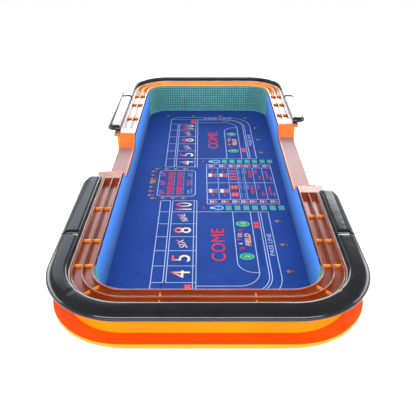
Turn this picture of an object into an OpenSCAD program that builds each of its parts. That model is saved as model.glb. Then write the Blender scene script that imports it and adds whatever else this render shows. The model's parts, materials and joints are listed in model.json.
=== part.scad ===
// Casino craps table: a padded armrest round a tub-shaped playing box on two pedestals.
// Millimetres, +Z up, floor at Z = 0, origin on the floor under the middle of the table.
// X runs across the table, Y runs along it. "near" is -Y, "far" is +Y, "left" is -X.

/* [Overall size] */
// half width of the table, centre line to the outside of the armrest
half_width = 762; // [700:1:800]
// half length of the table, centre line to the outside of the armrest
half_length = 1696; // [1500:1:1900]
// height of the playing surface above the floor
felt_height = 720; // [680:1:760]
// outer corner radius of the armrest
corner_radius = 384; // [350:1:420]

/* [Armrest] */
// width of the padded armrest
pad_width = 102; // [90:1:115]
// height of the padding above its backing board
pad_height = 36; // [30:1:50]
// distance from the middle of the table to the two seams in the padding
seam_y = 1068; // [1000:1:1150]

/* [Chip rail] */
// width of each chip groove
groove_width = 42; // [41:0.5:46]
// depth of each chip groove
groove_depth = 33; // [25:1:38]
// height of the top of the chip rail above the playing surface
rim_height = 250; // [220:1:280]

/* [Dealer notches] */
// half length of the left notch, measured along its top
left_notch = 310; // [260:1:360]
// half length of the right notch, measured along its top
right_notch = 495; // [440:1:540]
// how far the notch boards lie below the chip rail
notch_drop = 76; // [50:1:100]
// length of each notch's sloping cheek along the table
cheek_run = 80; // [60:1:100]

/* [Drink shelf] */
// height of the shelf's top above the playing surface
shelf_level = 109; // [60:1:130]
// width of the shelf outside the apron
shelf_width = 72; // [60:1:84]

/* [Pedestals] */
// distance from the middle of the table to the middle of each pedestal
pedestal_y = 600; // [520:1:620]
// height of the levelling feet under the plinths
foot_height = 22; // [20:1:30]

/* [Hidden] */
$fn = 96;
// plan outlines are given as distances outside the four corner centres
center_x = half_width - corner_radius;
center_y = half_length - corner_radius;
// armrest
r_arm = corner_radius;
r_pad = r_arm - pad_width;
base_width = 46; // board under the padding
base_thick = 22;
base_top = rim_height - 3;
base_bottom = base_top - base_thick;
seam_gap = 2;
piping_radius = 3.5;
// chip rail: a floor board with three glued strips
lip = 9; // width of the inner and outer strips
ridge = 7; // width of the middle strip
r_rail_out = 274;
r_rail_in = r_rail_out - 2 * lip - ridge - 2 * groove_width;
groove_floor = rim_height - groove_depth;
rail_bottom = groove_floor - 12;
glue = 0.1; // thickness of a glue line
joint = 0.2; // gap where two lengths of rail meet
plain_end = 95; // solid length at each dealer notch
divider_thick = 6;
divider_height = 14;
// distances from the middle of the table to the dividers of each arm
dividers_near_left = [735, 1060, 1275];
dividers_near_right = [817, 1058, 1275];
dividers_far_left = [690, 1010, 1235];
dividers_far_right = [762, 1018, 1227];
divider_end_x = 215; // dividers across each end, either side of the middle
// tub
r_wall = r_rail_in;
wall_thick = 18;
lining_thick = 4;
rubber_thick = 5;
lining_top = rim_height - 12;
side_end = 1290; // where the side boards meet the end boards
deck_thick = 25;
underlay_thick = 3;
felt_thick = 2;
// dealer notches
board_top = rim_height - notch_drop;
board_bottom = board_top - 18;
cheek_slant = sqrt(cheek_run * cheek_run + notch_drop * notch_drop);
cheek_thick = 12;
trim_thick = 5;
x_rim = center_x + r_rail_in;
x_rail = center_x + r_rail_out;
// distance from the middle of the table to the free end of each length of padding
pad_end_near_left = 412;
pad_end_near_right = 590;
pad_end_far_left = 368;
pad_end_far_right = 530;
// apron and drink shelf
apron_thick = 24;
apron_bottom = 12;
r_apron = r_rail_out + apron_thick;
side_lap = 60; // how far the side aprons reach past the notch
r_shelf = r_apron + shelf_width;
shelf_thick = 18;
shelf_bottom = shelf_level - shelf_thick;
edge_thick = 3;
shelf_end = 1000;
bracket_leg = 62;
bracket_width = 28;
bracket_plate = 4;
bracket_web = 6;
// underframe and pedestals
frame_bottom = felt_height - 110;
frame_depth = 80;
bearer_x = 380;
bearer_width = 45;
bearer_end = 1400;
joist_y = [-1360, -900, -300, 300, 900, 1360];
joist_width = 44;
collar_height = 40;
collar_step = 22;
plinth_height = 60;
plinth_step = 14;
plinth_x = 440;
plinth_y = 230;
plinth_rim = 80; // width of the plinth's frame
pedestal_half_x = 400;
pedestal_half_y = 190;
panel = 25;
flute_pitch = 100;
stretcher_bottom = 160;
stretcher_height = 150;
stretcher_width = 60;
// levelling feet
foot_pad_radius = 31;
stud_radius = 6;
stud_length = 52;
insert_radius = 11;
insert_length = 40;
// preview colours
vinyl_black = [0.05, 0.05, 0.06];
rail_brown = [0.55, 0.24, 0.1];
bright_orange = [1, 0.45, 0.1];
board_pink = [0.62, 0.42, 0.38];
plywood = [0.78, 0.64, 0.44];
softwood = [0.72, 0.54, 0.34];
cloth_blue = [0.12, 0.3, 0.85];
rubber_green = [0.2, 0.5, 0.45];
apron_yellow = [1, 0.62, 0.08];
shelf_red = [0.95, 0.3, 0.05];
pedestal_brown = [0.35, 0.16, 0.08];
plinth_brown = [0.1, 0.05, 0.03];
steel = [0.55, 0.56, 0.58];

// ---- shared shapes -------------------------------------------------------------------
// a rounded rectangle centred on the origin
module rounded_rect(half_x, half_y, r) {
  square([2 * (half_x - r), 2 * half_y], center = true);
  square([2 * half_x, 2 * (half_y - r)], center = true);
  for (sx = [-1, 1], sy = [-1, 1])
    translate([sx * (half_x - r), sy * (half_y - r)]) circle(r);
}
// the table's plan outline at a distance r outside the corner centres
module plan(r) { rounded_rect(center_x + r, center_y + r, r); }
module left() { mirror([1, 0, 0]) children(); }
module far() { mirror([0, 1, 0]) children(); }
// Profiles are drawn as (distance outside the corner centres, height above the felt).
// a straight length on the near right side, between two distances from the middle
module arm(start, end) {
  translate([center_x, -start, felt_height]) rotate([90, 0, 0]) linear_extrude(end - start) children();
}
// the rounded corner on the near right
module corner() {
  translate([center_x, -center_y, felt_height]) rotate([0, 0, -90]) rotate_extrude(angle = 90) children();
}
// a straight length across the near end, reaching half_x either side of the middle
module cross(half_x) {
  translate([half_x, -center_y, felt_height]) rotate([0, 0, -90]) rotate([90, 0, 0])
    linear_extrude(2 * half_x) children();
}
// a U round the near end; its arms start at these distances from the middle
module u_end(left_start, right_start) {
  cross(center_x) children();
  corner() children();
  left() corner() children();
  if (right_start < center_y) arm(right_start, center_y) children();
  if (left_start < center_y) left() arm(left_start, center_y) children();
}
module box2(r0, r1, z0, z1) { translate([r0, z0]) square([r1 - r0, z1 - z0]); }
// a plate standing along Y between two X planes, drawn as (Y, height above the felt)
module side_plate(x0, x1) {
  translate([x0, 0, felt_height]) rotate([90, 0, 90]) linear_extrude(x1 - x0) children();
}
// Y of the underside of a notch's sloping cheek at height z
function slope_y(notch, z) = notch - cheek_run + cheek_thick * notch_drop / cheek_slant
  + (z - board_top + cheek_thick * cheek_run / cheek_slant) * cheek_run / notch_drop;
// a plate from z0 to z1 with the notch's underside cut out of its top edge
module notched(notch, z0, z1) {
  inner = slope_y(notch, board_bottom);
  outer = slope_y(notch, z1);
  polygon([[-side_end, z0], [side_end, z0], [side_end, z1], [outer, z1],
    [inner, board_bottom], [-inner, board_bottom], [-outer, z1], [-side_end, z1]]);
}

// ---- armrest --------------------------------------------------------------------------
// a flat cushion, fully rounded on the outside and with a small rolled edge on the inside
module pad_profile() {
  outer = pad_height / 2;
  inner = 12;
  translate([r_arm - outer, base_top + outer]) circle(outer);
  translate([r_pad + inner, base_top + pad_height - inner]) circle(inner);
  box2(r_pad, r_pad + inner, base_top, base_top + pad_height - inner);
  box2(r_pad + inner, r_arm - outer, base_top, base_top + pad_height);
}
module pad_end_piece() {
  color(vinyl_black) u_end(seam_y + seam_gap / 2, seam_y + seam_gap / 2) pad_profile();
}
module pad_arm(start) { color(vinyl_black) arm(start, seam_y - seam_gap / 2) pad_profile(); }
module armrest_pad_near() { pad_end_piece(); }
module armrest_pad_far() { far() pad_end_piece(); }
module armrest_pad_near_left() { left() pad_arm(pad_end_near_left); }
module armrest_pad_near_right() { pad_arm(pad_end_near_right); }
module armrest_pad_far_left() { far() left() pad_arm(pad_end_far_left); }
module armrest_pad_far_right() { far() pad_arm(pad_end_far_right); }
module armrest_base() {
  color(rail_brown) u_end(left_notch, right_notch)
    box2(r_rail_out, r_rail_out + base_width, base_bottom, base_top);
}
module armrest_base_near() { armrest_base(); }
module armrest_base_far() { far() armrest_base(); }
// a bead in the gap between the padding and the chip rail
module piping_profile() {
  translate([(r_rail_out + r_pad) / 2, base_top + piping_radius]) circle(piping_radius);
}
module armrest_piping() {
  color(vinyl_black) {
    u_end(pad_end_near_left, pad_end_near_right) piping_profile();
    far() u_end(pad_end_far_left, pad_end_far_right) piping_profile();
  }
}

// ---- chip rail ------------------------------------------------------------------------
rail_strips = [
  [r_rail_in, lip],
  [r_rail_in + lip + groove_width, ridge],
  [r_rail_out - lip, lip]];
module rail_floor_profile() { box2(r_rail_in, r_rail_out, rail_bottom, groove_floor - glue); }
// a strip with a rounded top, given as [inner edge, width]
module rail_strip_profile(strip) {
  shoulder = rim_height - strip[1] / 2;
  box2(strip[0], strip[0] + strip[1], groove_floor, shoulder);
  translate([strip[0] + strip[1] / 2, shoulder]) circle(strip[1] / 2);
}
// the rail round the near end, in three lengths
module rail_end() {
  color(rail_brown) {
    rail_end_lengths() rail_floor_profile();
    for (strip = rail_strips) rail_end_lengths() rail_strip_profile(strip);
  }
}
module rail_end_lengths() {
  cross(center_x - joint) children();
  corner() children();
  left() corner() children();
}
// the rail along the near right side, with a plain end at the notch
module rail_arm(notch) {
  start = notch + plain_end;
  color(rail_brown) {
    arm(slope_y(notch, rim_height), start) box2(r_rail_in, r_rail_out, rail_bottom, rim_height);
    arm(start + joint, center_y - joint) rail_floor_profile();
    for (strip = rail_strips) arm(start + joint, center_y - joint) rail_strip_profile(strip);
  }
}
module chip_rail_near() { rail_end(); }
module chip_rail_far() { far() rail_end(); }
module chip_rail_near_left() { left() rail_arm(left_notch); }
module chip_rail_near_right() { rail_arm(right_notch); }
module chip_rail_far_left() { far() left() rail_arm(left_notch); }
module chip_rail_far_right() { far() rail_arm(right_notch); }
// the pair of little plates that part the chips in both grooves
module divider() {
  for (k = [0, 1])
    translate([r_rail_in + lip + k * (groove_width + ridge), -divider_thick / 2, felt_height + groove_floor])
      cube([groove_width, divider_thick, divider_height]);
}
module arm_dividers(distances) {
  for (y = distances) translate([center_x, -y, 0]) divider();
}
module end_dividers() {
  for (x = [-divider_end_x, divider_end_x])
    translate([x, -center_y, 0]) rotate([0, 0, -90]) divider();
  for (side = [0, 1]) mirror([side, 0, 0])
    translate([center_x, -center_y, 0]) rotate([0, 0, -45]) divider();
}
module rail_dividers() {
  color(bright_orange) {
    left() arm_dividers(dividers_near_left);
    arm_dividers(dividers_near_right);
    far() left() arm_dividers(dividers_far_left);
    far() arm_dividers(dividers_far_right);
    end_dividers();
    far() end_dividers();
  }
}

// ---- dealer notches ---------------------------------------------------------------------
module board_shape(notch) {
  top = notch - cheek_run;
  bottom = slope_y(notch, board_bottom);
  polygon([[-top, board_top], [top, board_top], [bottom, board_bottom], [-bottom, board_bottom]]);
}
module cheek_shape(notch) {
  polygon([[notch - cheek_run, board_top], [notch, rim_height],
    [slope_y(notch, rim_height), rim_height], [slope_y(notch, board_bottom), board_bottom]]);
}
module notch_board(notch) {
  color(board_pink) side_plate(x_rim + trim_thick, x_rail) board_shape(notch);
}
module notch_board_left() { left() notch_board(left_notch); }
module notch_board_right() { notch_board(right_notch); }
module cheeks(notch) {
  color(bright_orange) for (end = [0, 1]) mirror([0, end, 0])
    side_plate(x_rim + trim_thick, x_rail) cheek_shape(notch);
}
module notch_cheeks_left() { left() cheeks(left_notch); }
module notch_cheeks_right() { cheeks(right_notch); }
// a thin edging along the board and both cheeks, on the tub side
module trim(notch) {
  color(bright_orange) side_plate(x_rim, x_rim + trim_thick) {
    board_shape(notch);
    cheek_shape(notch);
    mirror([1, 0]) cheek_shape(notch);
  }
}
module notch_trim_left() { left() trim(left_notch); }
module notch_trim_right() { trim(right_notch); }
// solid blocks that back each cheek: one beside the wall, one on top of it
module block(notch) {
  end = slope_y(notch, rim_height);
  side_plate(x_rim + wall_thick, x_rail)
    polygon([[slope_y(notch, board_bottom), board_bottom], [end, rim_height], [end, board_bottom]]);
  side_plate(x_rim, x_rim + wall_thick)
    polygon([[slope_y(notch, rail_bottom), rail_bottom], [end, rim_height], [end, rail_bottom]]);
}
module end_blocks() {
  color(softwood) for (end = [0, 1]) mirror([0, end, 0]) {
    block(right_notch);
    left() block(left_notch);
  }
}

// ---- tub ------------------------------------------------------------------------------------
// the walls stand on the deck; the linings stand on the felt and cover the rail's inner face
module side_wall(notch) {
  color(plywood) side_plate(x_rim, x_rim + wall_thick)
    notched(notch, -underlay_thick - felt_thick, rail_bottom);
}
module wall_left() { left() side_wall(left_notch); }
module wall_right() { side_wall(right_notch); }
module end_wall() {
  color(plywood) u_end(side_end, side_end)
    box2(r_wall, r_wall + wall_thick, -underlay_thick - felt_thick, rail_bottom);
}
module wall_near() { end_wall(); }
module wall_far() { far() end_wall(); }
module side_lining(notch) {
  color(cloth_blue) side_plate(x_rim - lining_thick, x_rim) notched(notch, 0, lining_top);
}
module lining_left() { left() side_lining(left_notch); }
module lining_right() { side_lining(right_notch); }
module end_rubber() {
  color(rubber_green) u_end(side_end, side_end) box2(r_wall - rubber_thick, r_wall, 0, lining_top);
}
module rubber_near() { end_rubber(); }
module rubber_far() { far() end_rubber(); }
// a flat layer whose top lies this far below the playing surface
module layer(below, thick, r) {
  translate([0, 0, felt_height - below - thick]) linear_extrude(thick) plan(r);
}
module layout_felt() { color(cloth_blue) layer(0, felt_thick, r_wall); }
module underlay() { color(steel) layer(felt_thick, underlay_thick, r_wall); }
module deck_board() {
  color(plywood) layer(felt_thick + underlay_thick, deck_thick, r_wall + wall_thick);
}

// ---- apron and drink shelves ---------------------------------------------------------------
module end_apron() {
  color(apron_yellow) u_end(left_notch, right_notch)
    box2(r_rail_out, r_apron, apron_bottom, base_bottom);
}
module apron_near() { end_apron(); }
module apron_far() { far() end_apron(); }
// a straight board under each notch, flush with the outside of the chip rail
module side_apron(notch) {
  reach = notch + side_lap;
  color(apron_yellow) side_plate(x_rail - apron_thick, x_rail)
    translate([-reach, apron_bottom]) square([2 * reach, board_bottom - apron_bottom]);
}
module apron_left() { left() side_apron(left_notch); }
module apron_right() { side_apron(right_notch); }
module shelf_ring(r0, r1) { u_end(shelf_end, shelf_end) box2(r0, r1, shelf_bottom, shelf_level); }
module drink_shelf_near() { color(shelf_red) shelf_ring(r_apron, r_shelf - edge_thick); }
module drink_shelf_far() { far() drink_shelf_near(); }
module shelf_edge_near() { color(apron_yellow) shelf_ring(r_shelf - edge_thick, r_shelf); }
module shelf_edge_far() { far() shelf_edge_near(); }
// one right-angled bracket: a wall leg, a shelf leg and a web
module bracket() {
  top = felt_height + shelf_bottom;
  translate([r_apron, bracket_web / 2, top]) rotate([90, 0, 0]) linear_extrude(bracket_web)
    polygon([[0, 0], [bracket_leg, 0], [bracket_leg, -8], [8, -bracket_leg], [0, -bracket_leg]]);
  translate([r_apron, -bracket_width / 2, top - bracket_plate])
    cube([bracket_leg, bracket_width, bracket_plate]);
  translate([r_apron, -bracket_width / 2, top - bracket_leg])
    cube([bracket_plate, bracket_width, bracket_leg]);
}
module end_brackets() {
  for (x = [-250, 0, 250]) translate([x, -center_y, 0]) rotate([0, 0, -90]) bracket();
  for (side = [0, 1], y = [1060, 1270]) mirror([side, 0, 0])
    translate([center_x, -y, 0]) bracket();
}
module shelf_brackets() {
  color(steel) {
    end_brackets();
    far() end_brackets();
  }
}

// ---- underframe and pedestals --------------------------------------------------------------
module bearers() {
  color(softwood) for (side = [0, 1]) mirror([side, 0, 0])
    translate([bearer_x, -bearer_end, frame_bottom]) cube([bearer_width, 2 * bearer_end, frame_depth]);
}
module joists() {
  color(softwood) for (y = joist_y)
    translate([-bearer_x, y - joist_width / 2, frame_bottom]) cube([2 * bearer_x, joist_width, frame_depth]);
}
// a stepped collar under the frame, on top of each pedestal
module pedestal_collars() {
  inset = 18;
  color(plinth_brown) for (y = [-pedestal_y, pedestal_y]) translate([0, y, frame_bottom]) {
    translate([0, 0, -collar_step]) linear_extrude(collar_step) rounded_rect(plinth_x, plinth_y, 40);
    translate([0, 0, -collar_height]) linear_extrude(collar_height - collar_step)
      rounded_rect(plinth_x - inset, plinth_y - inset, 40);
  }
}
// a hollow box with shallow flutes down its two long faces
module pedestal() {
  bottom = foot_height + plinth_height;
  color(pedestal_brown) translate([0, -pedestal_y, bottom])
    linear_extrude(frame_bottom - collar_height - bottom) difference() {
      rounded_rect(pedestal_half_x, pedestal_half_y, 30);
      square([2 * (pedestal_half_x - panel), 2 * (pedestal_half_y - panel)], center = true);
      for (x = [-3:3], side = [-1, 1])
        translate([x * flute_pitch, side * (pedestal_half_y + 6)]) circle(14);
    }
}
module pedestal_near() { pedestal(); }
module pedestal_far() { far() pedestal(); }
// a stepped frame with a blind hole for each foot's insert
module plinth() {
  lower = plinth_height - plinth_step;
  color(plinth_brown) translate([0, -pedestal_y, foot_height]) difference() {
    union() {
      linear_extrude(lower) rounded_rect(plinth_x, plinth_y, 40);
      translate([0, 0, lower]) linear_extrude(plinth_step)
        rounded_rect(plinth_x - plinth_step, plinth_y - plinth_step, 40);
    }
    translate([0, 0, -1]) linear_extrude(plinth_height + 2)
      square([2 * (plinth_x - plinth_rim), 2 * (plinth_y - plinth_rim)], center = true);
    for (sx = [-1, 1], sy = [-1, 1])
      translate([sx * pedestal_half_x, sy * pedestal_half_y, -1])
        cylinder(r = insert_radius, h = plinth_height - 3);
  }
}
module plinth_near() { plinth(); }
module plinth_far() { far() plinth(); }
module stretcher() {
  half = pedestal_y - pedestal_half_y;
  color(pedestal_brown) translate([-stretcher_width / 2, -half, stretcher_bottom])
    cube([stretcher_width, 2 * half, stretcher_height]);
}

// ---- levelling feet ---------------------------------------------------------------------------
module foot_inserts() {
  color(bright_orange) for (y = [-pedestal_y, pedestal_y], sx = [-1, 1], sy = [-1, 1])
    translate([sx * pedestal_half_x, y + sy * pedestal_half_y, foot_height]) difference() {
      cylinder(r = insert_radius, h = insert_length);
      translate([0, 0, -1]) cylinder(r = stud_radius + 0.3, h = insert_length + 2);
    }
}
// a round pad, a hexagon for the spanner and a stud; signs choose the pedestal and its corner
module foot(pedestal_sign, sx, sy) {
  pad = 7;
  color(steel) translate([sx * pedestal_half_x, pedestal_sign * pedestal_y + sy * pedestal_half_y, 0]) {
    cylinder(r = foot_pad_radius, h = pad);
    translate([0, 0, pad]) cylinder(r1 = foot_pad_radius, r2 = 12, h = pad);
    translate([0, 0, 2 * pad]) cylinder(r = 14, h = foot_height - 2 * pad, $fn = 6);
    translate([0, 0, foot_height]) cylinder(r = stud_radius, h = stud_length);
  }
}
module foot_1() { foot(-1, -1, -1); }
module foot_2() { foot(-1, 1, -1); }
module foot_3() { foot(-1, -1, 1); }
module foot_4() { foot(-1, 1, 1); }
module foot_5() { foot(1, -1, -1); }
module foot_6() { foot(1, 1, -1); }
module foot_7() { foot(1, -1, 1); }
module foot_8() { foot(1, 1, 1); }

// ---- show ----------------------------------------------------------------------------------------
armrest_pad_near();
armrest_pad_far();
armrest_pad_near_left();
armrest_pad_near_right();
armrest_pad_far_left();
armrest_pad_far_right();
armrest_base_near();
armrest_base_far();
armrest_piping();
chip_rail_near();
chip_rail_far();
chip_rail_near_left();
chip_rail_near_right();
chip_rail_far_left();
chip_rail_far_right();
rail_dividers();
notch_board_left();
notch_board_right();
notch_cheeks_left();
notch_cheeks_right();
notch_trim_left();
notch_trim_right();
end_blocks();
wall_left();
wall_right();
wall_near();
wall_far();
lining_left();
lining_right();
rubber_near();
rubber_far();
deck_board();
underlay();
layout_felt();
apron_left();
apron_right();
apron_near();
apron_far();
drink_shelf_near();
drink_shelf_far();
shelf_edge_near();
shelf_edge_far();
shelf_brackets();
bearers();
joists();
pedestal_collars();
pedestal_near();
pedestal_far();
plinth_near();
plinth_far();
stretcher();
foot_inserts();
foot_1();
foot_2();
foot_3();
foot_4();
foot_5();
foot_6();
foot_7();
foot_8();
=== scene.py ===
"""Looks of the craps table: materials, padded armrest, linings, rubber pyramids and printed layout.

Metres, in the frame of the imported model: X across the table, Y along it, Z up, floor at zero.
"""

import json
import math

import bpy
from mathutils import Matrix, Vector, noise

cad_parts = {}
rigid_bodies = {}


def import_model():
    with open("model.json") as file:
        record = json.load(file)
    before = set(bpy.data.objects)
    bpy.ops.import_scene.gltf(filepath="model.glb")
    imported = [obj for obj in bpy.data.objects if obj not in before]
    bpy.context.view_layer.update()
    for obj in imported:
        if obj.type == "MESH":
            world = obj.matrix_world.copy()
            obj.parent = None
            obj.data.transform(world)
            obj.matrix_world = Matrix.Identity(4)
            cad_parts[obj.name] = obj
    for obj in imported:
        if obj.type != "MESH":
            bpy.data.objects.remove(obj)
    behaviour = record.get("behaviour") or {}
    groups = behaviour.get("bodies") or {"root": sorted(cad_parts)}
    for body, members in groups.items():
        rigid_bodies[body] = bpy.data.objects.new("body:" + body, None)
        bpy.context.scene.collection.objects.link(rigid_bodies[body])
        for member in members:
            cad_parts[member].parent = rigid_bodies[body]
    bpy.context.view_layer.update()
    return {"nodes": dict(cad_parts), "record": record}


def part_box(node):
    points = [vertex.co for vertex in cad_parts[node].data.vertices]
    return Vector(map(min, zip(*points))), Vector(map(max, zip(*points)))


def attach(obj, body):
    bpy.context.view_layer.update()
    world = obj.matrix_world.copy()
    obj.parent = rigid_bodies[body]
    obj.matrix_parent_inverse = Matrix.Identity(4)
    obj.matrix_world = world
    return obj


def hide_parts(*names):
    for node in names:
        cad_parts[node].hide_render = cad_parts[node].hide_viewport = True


for leftover in list(bpy.data.objects):
    bpy.data.objects.remove(leftover)
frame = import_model()

# ---- places taken from the frame -------------------------------------------------------------
TABLE = "table"
PAD_LOW, PAD_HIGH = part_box("armrest_pad_near")
SIDE_LOW, SIDE_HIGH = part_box("armrest_pad_near_right")
FELT_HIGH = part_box("layout_felt")[1]
LINING_LOW, LINING_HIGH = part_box("lining_right")
RUBBER_LOW, RUBBER_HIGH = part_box("rubber_near")
BOARD_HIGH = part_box("notch_board_right")[1]
BLOCK_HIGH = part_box("end_blocks")[1]
MM = 0.001
CORNER_RADIUS = 384 * MM  # outside corner of the armrest
RUBBER_THICK = 5 * MM
CORNER_X = PAD_HIGH.x - CORNER_RADIUS
CORNER_Y = -PAD_LOW.y - CORNER_RADIUS
PAD_IN = SIDE_LOW.x - CORNER_X  # distances outside the corner centres
PAD_OUT = SIDE_HIGH.x - CORNER_X
SEAM = -SIDE_LOW.y
FELT_TOP = FELT_HIGH.z
WALL = FELT_HIGH.x - CORNER_X
RUBBER_FACE = RUBBER_HIGH.x - CORNER_X - RUBBER_THICK
CHEEK_DROP = BLOCK_HIGH.z - BOARD_HIGH.z
CHEEK_RUN = 80 * MM  # length of the slope beside each notch


# ---- material helpers ---------------------------------------------------------------------------
class Shader:
    """A node material with a few short ways to add detail, all in object coordinates."""

    def __init__(self, name):
        self.material = bpy.data.materials.new(name)
        self.material.use_nodes = True
        self.tree = self.material.node_tree
        self.surface = self.tree.nodes["Principled BSDF"]
        self.place = self.node("ShaderNodeTexCoord").outputs["Object"]

    def node(self, kind, **settings):
        made = self.tree.nodes.new(kind)
        for key, value in settings.items():
            setattr(made, key, value)
        return made

    def link(self, a, b):
        self.tree.links.new(a, b)

    def set(self, **values):
        for key, value in values.items():
            self.surface.inputs[key.replace("_", " ")].default_value = value

    def stretched(self, scale):
        """Object coordinates scaled along each axis, for grain and brushing."""
        mapping = self.node("ShaderNodeMapping")
        mapping.inputs["Scale"].default_value = scale
        self.link(self.place, mapping.inputs["Vector"])
        return mapping.outputs["Vector"]

    def noise(self, scale, detail=4.0, rough=0.5, where=None, distortion=0.0):
        made = self.node("ShaderNodeTexNoise")
        made.inputs["Scale"].default_value = scale
        made.inputs["Detail"].default_value = detail
        made.inputs["Roughness"].default_value = rough
        made.inputs["Distortion"].default_value = distortion
        self.link(where or self.place, made.inputs["Vector"])
        return made.outputs["Fac"]

    def wave(self, scale, direction):
        made = self.node("ShaderNodeTexWave", bands_direction=direction)
        made.inputs["Scale"].default_value = scale
        self.link(self.place, made.inputs["Vector"])
        return made.outputs["Fac"]

    def cells(self, scale):
        made = self.node("ShaderNodeTexVoronoi")
        made.inputs["Scale"].default_value = scale
        self.link(self.place, made.inputs["Vector"])
        return made.outputs["Distance"]

    def ramp(self, source, *stops):
        made = self.node("ShaderNodeValToRGB")
        elements = made.color_ramp.elements
        while len(elements) < len(stops):
            elements.new(0.5)
        for element, (position, colour) in zip(elements, stops):
            element.position = position
            element.color = (*colour, 1)
        self.link(source, made.inputs["Fac"])
        return made.outputs["Color"]

    def range(self, source, low, high):
        made = self.node("ShaderNodeMapRange")
        made.inputs["To Min"].default_value = low
        made.inputs["To Max"].default_value = high
        self.link(source, made.inputs["Value"])
        return made.outputs["Result"]

    def math(self, operation, a, b):
        made = self.node("ShaderNodeMath", operation=operation)
        for socket, value in zip(made.inputs, (a, b)):
            if isinstance(value, (int, float)):
                socket.default_value = value
            else:
                self.link(value, socket)
        return made.outputs["Value"]

    def colour(self, source):
        self.link(source, self.surface.inputs["Base Color"])

    def rough(self, source):
        self.link(source, self.surface.inputs["Roughness"])

    def soften_edges(self, radius):
        """Shades sharp edges as if they were rounded to this radius; call it before bump."""
        made = self.node("ShaderNodeBevel", samples=6)
        made.inputs["Radius"].default_value = radius
        for socket in ("Normal", "Coat Normal"):
            self.link(made.outputs["Normal"], self.surface.inputs[socket])

    def bump(self, height, depth, strength=1.0):
        """Adds a bump of this depth in metres on top of any bump already there."""
        made = self.node("ShaderNodeBump")
        made.inputs["Distance"].default_value = depth
        made.inputs["Strength"].default_value = strength
        normal = self.surface.inputs["Normal"]
        if normal.links:
            self.link(normal.links[0].from_socket, made.inputs["Normal"])
        self.link(height, made.inputs["Height"])
        self.link(made.outputs["Normal"], normal)


def darker(colour, share):
    return tuple(c * share for c in colour)


def vinyl(name, colour):
    """Glossy padded vinyl with a fine leather grain."""
    s = Shader(name)
    s.colour(s.ramp(s.noise(9, 5), (0.3, darker(colour, 0.7)), (0.7, darker(colour, 1.5))))
    s.rough(s.range(s.noise(12, 4), 0.11, 0.17))
    s.set(Specular_IOR_Level=0.4)
    s.bump(s.cells(500), 0.06 * MM, 0.6)
    return s.material


GRAIN_ACROSS, GRAIN_ALONG = 46, 2.2  # noise scales across and along the wood


def wood(name, light, dark, along="Y", coat=0.5, rough=0.3, fine=1.0):
    """Varnished wood with its grain along one axis."""
    s = Shader(name)
    scale = [GRAIN_ACROSS * fine] * 3
    scale["XYZ".index(along)] = GRAIN_ALONG
    grain = s.stretched(scale)
    streaks = s.noise(1.0, 7, 0.62, grain, 0.6)
    both = s.math("ADD", s.math("MULTIPLY", streaks, 0.7), s.math("MULTIPLY", s.noise(6, 3), 0.3))
    middle = tuple((a + b) / 2 for a, b in zip(light, dark))
    s.colour(s.ramp(both, (0.34, dark), (0.5, middle), (0.66, light)))
    s.rough(s.range(streaks, rough - 0.08, rough + 0.1))
    s.set(Coat_Weight=coat, Coat_Roughness=0.06)
    s.soften_edges(EDGE_ROUNDING)
    s.bump(streaks, 0.12 * MM, 0.5)
    return s.material


def lacquer(name, colour, rough=0.35):
    """Opaque lacquer with a faint orange-peel surface and small colour drift."""
    s = Shader(name)
    s.colour(s.ramp(s.noise(3.5, 6), (0.3, darker(colour, 0.84)), (0.7, colour)))
    s.rough(s.range(s.noise(60, 3), rough - 0.08, rough + 0.08))
    s.set(Specular_IOR_Level=0.2)
    s.bump(s.noise(260, 3), 0.1 * MM, 0.5)
    return s.material


def cloth(name, colour, pitch=0.9 * MM, sheen=0.02, gradient=None):
    """Plain woven cloth: crossed threads, fuzz and soft colour drift."""
    s = Shader(name)
    # a gradient blends colour stops along one axis, with a little random drift: the two print colours of the
    # numbers, or the painted shade of the linings
    if gradient:
        axis, start, end, stops = gradient
        split = s.node("ShaderNodeSeparateXYZ")
        s.link(s.place, split.inputs["Vector"])
        across = s.node("ShaderNodeMapRange")
        across.inputs["From Min"].default_value = start
        across.inputs["From Max"].default_value = end
        s.link(split.outputs[axis], across.inputs["Value"])
        drift = s.math("MULTIPLY", s.math("SUBTRACT", s.noise(4, 6), 0.5), 0.12)
        s.colour(s.ramp(s.math("ADD", across.outputs["Result"], drift), *stops))
    else:
        s.colour(s.ramp(s.noise(5, 8, 0.6), (0.3, darker(colour, 0.82)), (0.7, darker(colour, 1.1))))
    s.rough(s.range(s.noise(120, 3), 0.78, 0.95))
    s.set(Sheen_Weight=sheen, Sheen_Roughness=0.4, Specular_IOR_Level=0.12)
    turns = 1.0 / (pitch * 20)
    weave = s.math("ADD", s.wave(turns, "X"), s.math("ADD", s.wave(turns, "Y"), s.wave(turns, "Z")))
    s.bump(weave, 0.12 * MM, 0.7)
    s.bump(s.noise(900, 2), 0.1 * MM, 0.5)
    return s.material


def rubber(name, colour, tips=False):
    """Matte moulded rubber; with tips, painted shade in the hollows and painted highlights on the points,
    from the mesh's own attribute.
    """
    s = Shader(name)
    if tips:
        height = s.node("ShaderNodeAttribute", attribute_name=TIP).outputs["Fac"]
        # painted shade and highlight: dark at each pyramid's foot and bright at its point, with random tone
        # added
        painted_tip_shading = s.math("ADD", height, s.math("MULTIPLY", s.math("SUBTRACT", s.noise(25, 4), 0.5), 0.3))
        s.colour(s.ramp(painted_tip_shading, (0.0, darker(colour, 0.3)), (0.45, colour), (0.95, darker(colour, 1.5))))
    else:
        s.colour(s.ramp(s.noise(18, 6), (0.3, darker(colour, 0.8)), (0.75, darker(colour, 1.1))))
    s.rough(s.range(s.noise(80, 4), 0.5, 0.7))
    s.bump(s.noise(700, 3), 0.1 * MM, 0.6)
    return s.material


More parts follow.
